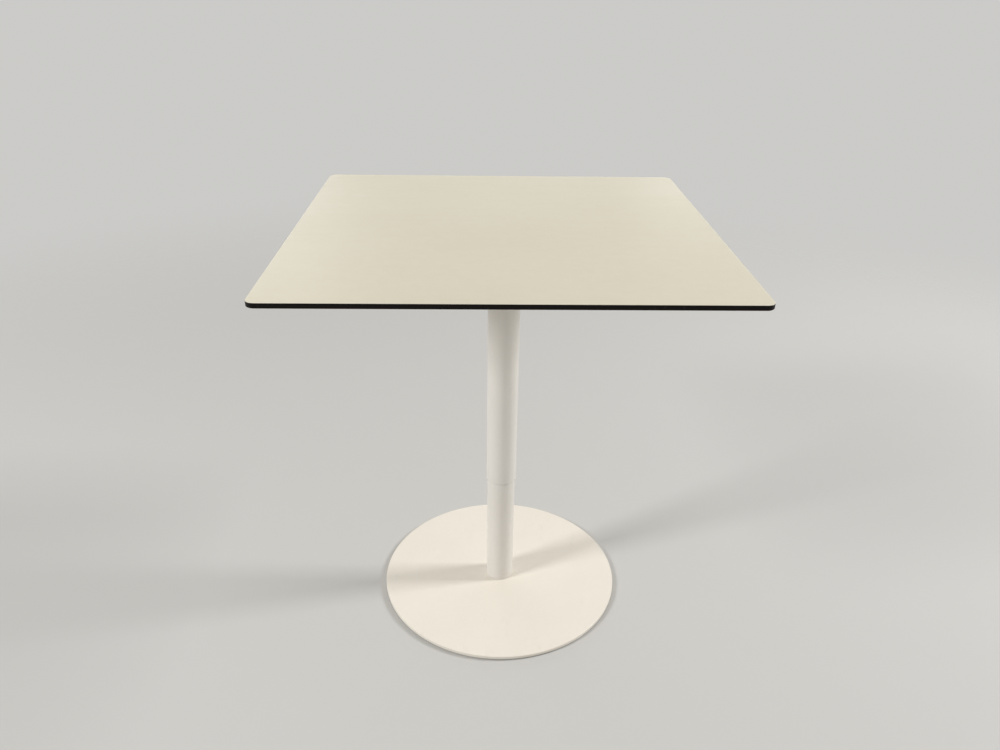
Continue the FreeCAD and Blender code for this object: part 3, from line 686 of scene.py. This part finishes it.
# Profile corners are (distance from the axis, height, rounding). Each rounding is an arc between
# two close rows, which keep the flats beside it flat and stand a share of the rounding away.
def roundedProfile(corners, closed=False, steps=5, rowShare=0.4):
    spots = [Vector((reach, 0.0, height)) for reach, height, rounding in corners]
    points = []
    for index, (reach, height, rounding) in enumerate(corners):
        here = spots[index]
        ends = not closed and index in (0, len(corners) - 1)
        if rounding == 0 or ends:
            points.append(here)
            continue
        back = (spots[index - 1] - here).normalized()
        ahead = (spots[(index + 1) % len(spots)] - here).normalized()
        half = back.angle(ahead) / 2
        first = here + back * (rounding / math.tan(half))
        last = here + ahead * (rounding / math.tan(half))
        centre = here + (back + ahead).normalized() * (rounding / math.sin(half))
        points.append(first + back * rounding * rowShare)
        spokes = [(first - centre).slerp(last - centre, step / steps) for step in range(steps + 1)]
        points += [centre + spoke.normalized() * rounding for spoke in spokes]
        points.append(last + ahead * rounding * rowShare)
    return points + points[:1] if closed else points


# Runs a tree on a profile, keeps a plain mesh, puts it on its body and hides the nodes it replaces
def makePiece(name, tree, points, values, body, replaced=(), crease=32.0):
    mesh = bpy.data.meshes.new(name + "Profile")
    mesh.from_pydata([tuple(p) for p in points], [(i, i + 1) for i in range(len(points) - 1)], [])
    piece = bpy.data.objects.new(name, mesh)
    scene.collection.objects.link(piece)
    shape = piece.modifiers.new("shape", "NODES")
    shape.node_group = tree
    for item in tree.interface.items_tree:
        if item.in_out == "INPUT" and item.name in values:
            shape[item.identifier] = values[item.name]
    ready = piece.evaluated_get(bpy.context.evaluated_depsgraph_get())
    made = bpy.data.meshes.new_from_object(ready)
    piece.modifiers.remove(shape)
    piece.data = made
    made.name = name
    bpy.data.meshes.remove(mesh)
    work = bmesh.new()
    work.from_mesh(made)
    bmesh.ops.recalc_face_normals(work, faces=work.faces)
    work.to_mesh(made)
    work.free()
    made.shade_smooth()
    made.set_sharp_from_angle(angle=math.radians(crease))
    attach(piece, body)
    if replaced:
        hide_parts(*replaced)
    print("piece", name, len(made.polygons), "faces")


# Table panel: two decor sheets on a dark core, one rim shared by the three
panelRim = {"corner": 18.0 * mm, "cornerSteps": 16, "upperArris": 0.25 * mm,
            "lowerChamfer": 0.8 * mm, "insertRadius": 4.6 * mm, "pocketGap": 0.05 * mm,
            "crease": 20.0}
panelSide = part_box("tabletop_core")[1].x * 2
insertLow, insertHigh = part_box("threaded_inserts")
sheetLow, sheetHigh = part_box("tabletop_backing")
lowerStep = panelRim["lowerChamfer"] - (sheetHigh.z - sheetLow.z)


def slabProfile(low, high, lowInset=0.0, lowRise=0.0, highInset=0.0, highDrop=0.0):
    rows = [(0, 0, low), (1, lowInset, low)]
    rows += [(1, 0, low + lowRise)] if lowRise else []
    rows += [(1, 0, high - highDrop)] if highDrop else []
    return rows + [(1, highInset, high), (0, 0, high)]


def panelSheet(name, tree, node, finish, slot, **ease):
    low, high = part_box(node)
    values = {"Side": panelSide, "Corner Radius": panelRim["corner"],
              "Corner Steps": panelRim["cornerSteps"],
              "Hole Reach": insertHigh.x - panelRim["insertRadius"],
              "Hole Radius": panelRim["insertRadius"] + panelRim["pocketGap"],
              "Hole Low": insertLow.z - panelRim["pocketGap"],
              "Hole High": insertHigh.z + panelRim["pocketGap"], "Material": finishes[finish]}
    makePiece(name, tree, slabProfile(low.z, high.z, **ease), values, "lifting_top", [node],
              panelRim["crease"])


panelSheet("panelFace", roundedSlab, "tabletop_face", "pale_decor", "pale_decor",
           highInset=panelRim["upperArris"], highDrop=panelRim["upperArris"])
panelSheet("panelCore", drilledSlab, "tabletop_core", "dark_core", "dark_core",
           lowInset=lowerStep, lowRise=lowerStep)
panelSheet("panelBacking", drilledSlab, "tabletop_backing", "backing", "pale_decor",
           lowInset=panelRim["lowerChamfer"], highInset=lowerStep)

# Screws through the top plate into the panel's inserts
plateScrew = {"thread": 3.0 * mm, "head": 6.0 * mm, "dome": 1.7 * mm, "drive": 4.0 * mm,
              "depth": 2.4 * mm, "steps": 40, "seed": 4}
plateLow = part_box("top_plate")[0]
screwLow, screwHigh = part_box("plate_screws")
profile = roundedProfile([
    (0, screwLow.z, 0), (plateScrew["head"], screwLow.z, plateScrew["dome"]),
    (plateScrew["head"], plateLow.z, 0), (plateScrew["thread"], plateLow.z, 0),
    (plateScrew["thread"], screwHigh.z, 0), (0, screwHigh.z, 0)])
makePiece("plateScrews", screwGrid, profile, {
    "Steps": plateScrew["steps"], "Drive Width": plateScrew["drive"], "Drive Face": screwLow.z,
    "Drive Depth": plateScrew["depth"], "Seed": plateScrew["seed"],
    "Reach": screwHigh.x - plateScrew["head"], "Material": finishes["zinc_steel"]},
    "lifting_top", ["plate_screws"])


# Upper tube, with rows of its own above and below the lever's slot
upperTube = {"wall": 1.5 * mm, "rim": 0.45 * mm, "steps": 128, "slotWidth": 9.0 * mm,
             "slotRise": 1.36 * mm, "slotMargin": 14 * mm}
upperLow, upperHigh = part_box("upper_tube")
rodLow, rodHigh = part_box("lever_rod")
leverRadius = rodHigh.y
leverAxis = round(rodHigh.z - leverRadius, 6)
upperBore = upperHigh.x - upperTube["wall"]
belowSlot, aboveSlot = (leverAxis + shift * upperTube["slotMargin"] for shift in (-1, 1))
profile = roundedProfile([
    (upperBore, upperLow.z, 0), (upperHigh.x, upperLow.z, upperTube["rim"]),
    (upperHigh.x, belowSlot, 0), (upperHigh.x, aboveSlot, 0), (upperHigh.x, upperHigh.z, 0),
    (upperBore, upperHigh.z, 0), (upperBore, aboveSlot, 0), (upperBore, belowSlot, 0)],
    closed=True)
makePiece("upperTube", slottedTube, profile, {
    "Steps": upperTube["steps"], "Slot Width": upperTube["slotWidth"], "Slot Low": leverAxis,
    "Slot High": leverAxis + upperTube["slotRise"], "Reach": upperHigh.x,
    "Material": finishes["white_coat"]},
    "lifting_top", ["upper_tube"])

# Weld under the top plate, round the tube's upper end
tubeWeld = {"bead": 2.4 * mm, "least": 0.92, "most": 1.08, "fall": 0.2, "ripples": 130, "steps": 6,
            "off": 0.6 * mm, "seed": 7, "crease": 40.0}
makePiece("tubeWeld", weldBead, [(0, 0, 0)], {
    "Circle": upperHigh.x + tubeWeld["off"], "Height": upperHigh.z - tubeWeld["off"],
    "Ripples": tubeWeld["ripples"], "Steps": tubeWeld["steps"], "Bead": tubeWeld["bead"],
    "Least": tubeWeld["least"], "Most": tubeWeld["most"], "Fall": tubeWeld["fall"],
    "Seed": tubeWeld["seed"], "Material": finishes["white_coat"]},
    "lifting_top", crease=tubeWeld["crease"])

# Guide bush, whose lip shows below the upper tube, in a grey that paints the shade under the tube's
# end
bushShape = {"bore": 34.05 * mm, "sleeve": 34.95 * mm, "rim": 0.3 * mm, "steps": 128}
bushLow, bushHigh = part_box("lower_bush")
profile = roundedProfile([
    (bushShape["bore"], bushLow.z, bushShape["rim"]), (bushHigh.x, bushLow.z, bushShape["rim"]),
    (bushHigh.x, upperLow.z, 0), (bushShape["sleeve"], upperLow.z, 0),
    (bushShape["sleeve"], bushHigh.z, 0), (bushShape["bore"], bushHigh.z, 0)], closed=True)
makePiece("guideBush", turnedPiece, profile, {
    "Steps": bushShape["steps"], "Material": finishes["guide_polymer"]},
    "lifting_top", ["lower_bush"])

lowerTube = {"wall": 2.0 * mm, "rim": 0.3 * mm, "steps": 128}
lowerLow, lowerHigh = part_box("lower_tube")
lowerBore = lowerHigh.x - lowerTube["wall"]
profile = roundedProfile([
    (lowerBore, lowerLow.z, 0), (lowerHigh.x, lowerLow.z, lowerTube["rim"]),
    (lowerHigh.x, lowerHigh.z, lowerTube["rim"]), (lowerBore, lowerHigh.z, 0)], closed=True)
makePiece("lowerTube", turnedPiece, profile, {
    "Steps": lowerTube["steps"], "Material": finishes["white_coat"]},
    "base", ["lower_tube"])


# Base plate. Its screws and glides come first here, because it is drilled for them.
footScrew = {"thread": 4.0 * mm, "head": 8.0 * mm, "land": 0.4 * mm, "drive": 5.2 * mm,
             "depth": 3.2 * mm, "count": 4, "start": math.radians(45), "steps": 40, "seed": 9}
floorGlide = {"pad": 15.0 * mm, "edge": 0.9 * mm, "stub": 4.0 * mm, "groove": 9.0 * mm,
              "grooveWidth": 2.0 * mm, "grooveDepth": 0.6 * mm, "count": 6, "steps": 48, "seed": 2}
basePlate = {"upperRim": 1.4 * mm, "lowerRim": 0.9 * mm, "steps": 224, "middle": 60.0 * mm,
             "gap": 0.05 * mm, "overrun": 1.0 * mm}
baseLow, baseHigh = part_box("base_plate")
glideLow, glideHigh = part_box("base_glides")
footLow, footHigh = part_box("foot_screws")
footCircle = (footHigh.x - footScrew["head"]) * math.sqrt(2)
glideCircle = glideHigh.x - floorGlide["pad"]
profile = roundedProfile([
    (0, baseLow.z, 0), (basePlate["middle"], baseLow.z, 0),
    (baseHigh.x, baseLow.z, basePlate["lowerRim"]), (baseHigh.x, baseHigh.z, basePlate["upperRim"]),
    (basePlate["middle"], baseHigh.z, 0), (0, baseHigh.z, 0)])
makePiece("basePlate", drilledPlate, profile, {
    "Steps": basePlate["steps"], "Holes": footScrew["count"], "Hole Circle": footCircle,
    "Hole Start": footScrew["start"], "Head Radius": footScrew["head"] + basePlate["gap"],
    "Shank Radius": footScrew["thread"] + basePlate["gap"], "Stubs": floorGlide["count"],
    "Stub Circle": glideCircle, "Stub Radius": floorGlide["stub"] + basePlate["gap"],
    "Stub Top": glideHigh.z + basePlate["gap"], "Low": baseLow.z, "High": baseHigh.z,
    "Overrun": basePlate["overrun"], "Material": finishes["base_coat"]},
    "base", ["base_plate"])

land = footLow.z + footScrew["land"]
neck = land + footScrew["head"] - footScrew["thread"]
profile = [(0, 0, footLow.z), (footScrew["head"], 0, footLow.z), (footScrew["head"], 0, land),
           (footScrew["thread"], 0, neck), (footScrew["thread"], 0, footHigh.z),
           (0, 0, footHigh.z)]
makePiece("footScrews", screwRing, profile, {
    "Steps": footScrew["steps"], "Drive Width": footScrew["drive"], "Drive Face": footLow.z,
    "Drive Depth": footScrew["depth"], "Seed": footScrew["seed"], "Count": footScrew["count"],
    "Circle": footCircle, "Start": footScrew["start"], "Material": finishes["zinc_steel"]},
    "base", ["foot_screws"])

inner = floorGlide["groove"] - floorGlide["grooveWidth"] / 2
outer = floorGlide["groove"] + floorGlide["grooveWidth"] / 2
grooveTop = glideLow.z + floorGlide["grooveDepth"]
profile = roundedProfile([
    (0, glideLow.z, 0), (inner, glideLow.z, 0), (inner, grooveTop, 0), (outer, grooveTop, 0),
    (outer, glideLow.z, 0), (floorGlide["pad"], glideLow.z, floorGlide["edge"]),
    (floorGlide["pad"], baseLow.z, 0), (floorGlide["stub"], baseLow.z, 0),
    (floorGlide["stub"], glideHigh.z, 0), (0, glideHigh.z, 0)])
makePiece("floorGlides", glideRing, profile, {
    "Steps": floorGlide["steps"], "Count": floorGlide["count"], "Circle": glideCircle,
    "Seed": floorGlide["seed"], "Material": finishes["glide_polymer"]},
    "base", ["base_glides"])


# Release lever: a rod with two bends, and its grip
leverRod = {"firstBend": 66.5 * mm, "secondBend": 190.0 * mm, "bendRadius": 40.0 * mm, "steps": 14}
gripLow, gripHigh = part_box("lever_grip")
gripAxis = (gripLow.z + gripHigh.z) / 2
profile = [(rodLow.x, 0, leverAxis), (leverRod["firstBend"], 0, leverAxis),
           (leverRod["secondBend"], 0, gripAxis), (rodHigh.x, 0, gripAxis)]
makePiece("leverRod", bentRod, profile, {
    "Radius": leverRadius, "Bend Radius": leverRod["bendRadius"], "Steps": leverRod["steps"],
    "Material": finishes["bright_steel"]},
    "release_lever", ["lever_rod"])

leverGrip = {"collar": 6.5 * mm, "collarEdge": 0.9 * mm, "taper": 30 * mm, "shoulder": 12 * mm,
             "end": 4.5 * mm, "arcSteps": 8, "steps": 56, "ring": 0.55 * mm, "rings": 13,
             "firstRing": 33 * mm, "pitch": 3.4 * mm, "wall": 4 * mm}
gripLength = gripHigh.x - gripLow.x
belly = (gripHigh.z - gripLow.z) / 2 - leverGrip["ring"]
boreEnd = gripLength - leverGrip["wall"]
profile = roundedProfile([
    (0, boreEnd, 0), (leverRadius, boreEnd, 0), (leverRadius, 0, 0),
    (leverGrip["collar"], 0, leverGrip["collarEdge"]),
    (belly, leverGrip["taper"], leverGrip["shoulder"]), (belly, gripLength, leverGrip["end"]),
    (0, gripLength, 0)], steps=leverGrip["arcSteps"])
makePiece("leverGrip", ribbedGrip, profile, {
    "Steps": leverGrip["steps"], "Start": (gripLow.x, 0, gripAxis), "Rings": leverGrip["rings"],
    "First": leverGrip["firstRing"], "Pitch": leverGrip["pitch"], "Belly": belly,
    "Ring": leverGrip["ring"], "Material": finishes["grip_polymer"]},
    "release_lever", ["lever_grip"])


# Inner nodes keep their shapes and get the finish of their slot. The upright rods are ground
# along Z.
uprightRods = ("anti_turn_rod", "piston_rod")
for name, node in nodes.items():
    for slot in node.material_slots:
        wanted = "ground_steel" if name in uprightRods else slot.material.name.split(".")[0]
        slot.material = finishes[wanted]
print("inner nodes finished:", sum(not node.hide_render for node in nodes.values()))


# The floor fades into the plain backdrop colour between near and edge
stage = {"floor": (0.60, 0.595, 0.58), "far": (0.60, 0.595, 0.58), "near": 1.6, "edge": 4.2,
         "segments": 96, "speckleScale": 7.0, "speckleShare": 0.3, "speckleShade": 0.97,
         "ambient": (1.0, 0.975, 0.93), "ambientLevel": 0.415}
floorMaterial, graph, place = startFinish("paleFloor")
speckle = graph.noise(place, stage["speckleScale"], detail=3.0) * stage["speckleShare"]
shade = [c * stage["speckleShade"] for c in stage["floor"]]
x, y, z = graph.parts(place)
fade = graph.band(graph.math("SQRT", x * x + y * y), stage["near"], stage["edge"])
matt = graph.add("ShaderNodeBsdfPrincipled", {}, {
    "Base Color": graph.blend(speckle, stage["floor"], shade), "Roughness": 1.0,
    "Specular IOR Level": 0.0})
clear = graph.add("ShaderNodeBsdfTransparent")
faded = graph.add("ShaderNodeMixShader", {}, {0: fade, 1: matt, 2: clear})
graph.add("ShaderNodeOutputMaterial", {}, {"Surface": faded})
floorMesh = bpy.data.meshes.new("floor")
work = bmesh.new()
bmesh.ops.create_circle(work, cap_ends=True, segments=stage["segments"], radius=stage["edge"])
work.to_mesh(floorMesh)
work.free()
floor = bpy.data.objects.new("floor", floorMesh)
floor.data.materials.append(floorMaterial)
scene.collection.objects.link(floor)

# The world lights softly. Camera, glossy and transmission rays see it as the plain backdrop.
world = bpy.data.worlds.new("studio")
scene.world = world
world.use_nodes = True
world.node_tree.nodes.clear()
graph = Graph(world.node_tree)
path = graph.add("ShaderNodeLightPath")
bounced = graph.math("MAXIMUM", path["Is Glossy Ray"], path["Is Transmission Ray"])
seen = graph.math("MAXIMUM", path["Is Camera Ray"], bounced)
soft = graph.add("ShaderNodeBackground", {}, {"Color": opaque(stage["ambient"]),
                                              "Strength": stage["ambientLevel"]})
plain = graph.add("ShaderNodeBackground", {}, {"Color": opaque(stage["far"]), "Strength": 1.0})
mixed = graph.add("ShaderNodeMixShader", {}, {0: seen, 1: soft, 2: plain})
graph.add("ShaderNodeOutputWorld", {}, {"Surface": mixed})

lamps = {"left": {"place": (-4.85, -2.26, 3.6), "aim": (0, 0, 0.5), "size": (1.2, 1.7),
                  "power": 199.0},
         "right": {"place": (5.2, 0.45, 3.6), "aim": (0, 0, 0.5), "size": (1.2, 1.8),
                   "power": 217.0},
         "backLow": {"place": (0.0, 5.2, 1.5), "aim": (0, 0, 0.95), "size": (7.0, 1.0),
                     "power": 20.0},
         "backLeft": {"place": (-2.8, 5.0, 2.7), "aim": (0, 0, 0.95), "size": (3.2, 3.0),
                      "power": 21.0},
         "backRight": {"place": (2.3, 5.0, 1.5), "aim": (0, 0, 0.95), "size": (2.0, 1.8),
                       "power": 8.0}}
for name, lamp in lamps.items():
    light = bpy.data.lights.new(name, "AREA")
    light.shape = "RECTANGLE"
    light.size, light.size_y = lamp["size"]
    light.energy = lamp["power"]
    holder = bpy.data.objects.new(name, light)
    holder.location = lamp["place"]
    beam = Vector(lamp["aim"]) - Vector(lamp["place"])
    holder.rotation_euler = beam.to_track_quat("-Z", "Y").to_euler()
    holder.visible_camera = False
    scene.collection.objects.link(holder)

# Camera, with its angles in degrees
shot = {"place": (-0.0533, -1.6959, 1.4733), "yaw": 1.571, "pitch": 27.191, "roll": -0.875,
        "lens": 29.27, "sensor": 36.0}
yaw, pitch, roll = (math.radians(shot[key]) for key in ("yaw", "pitch", "roll"))
ahead = Vector((math.sin(yaw) * math.cos(pitch), math.cos(yaw) * math.cos(pitch), -math.sin(pitch)))
side = Vector((math.cos(yaw), -math.sin(yaw), 0.0))
down = ahead.cross(side)
across = side * math.cos(roll) + down * math.sin(roll)
upward = side * math.sin(roll) - down * math.cos(roll)
lens = bpy.data.cameras.new("photoView")
lens.lens = shot["lens"]
lens.sensor_width = shot["sensor"]
camera = bpy.data.objects.new("photoView", lens)
turn = Matrix((across, upward, -ahead)).transposed().to_4x4()
camera.matrix_world = Matrix.Translation(shot["place"]) @ turn
scene.collection.objects.link(camera)
scene.camera = camera
scene.view_settings.view_transform = "Standard"
print("stage set")
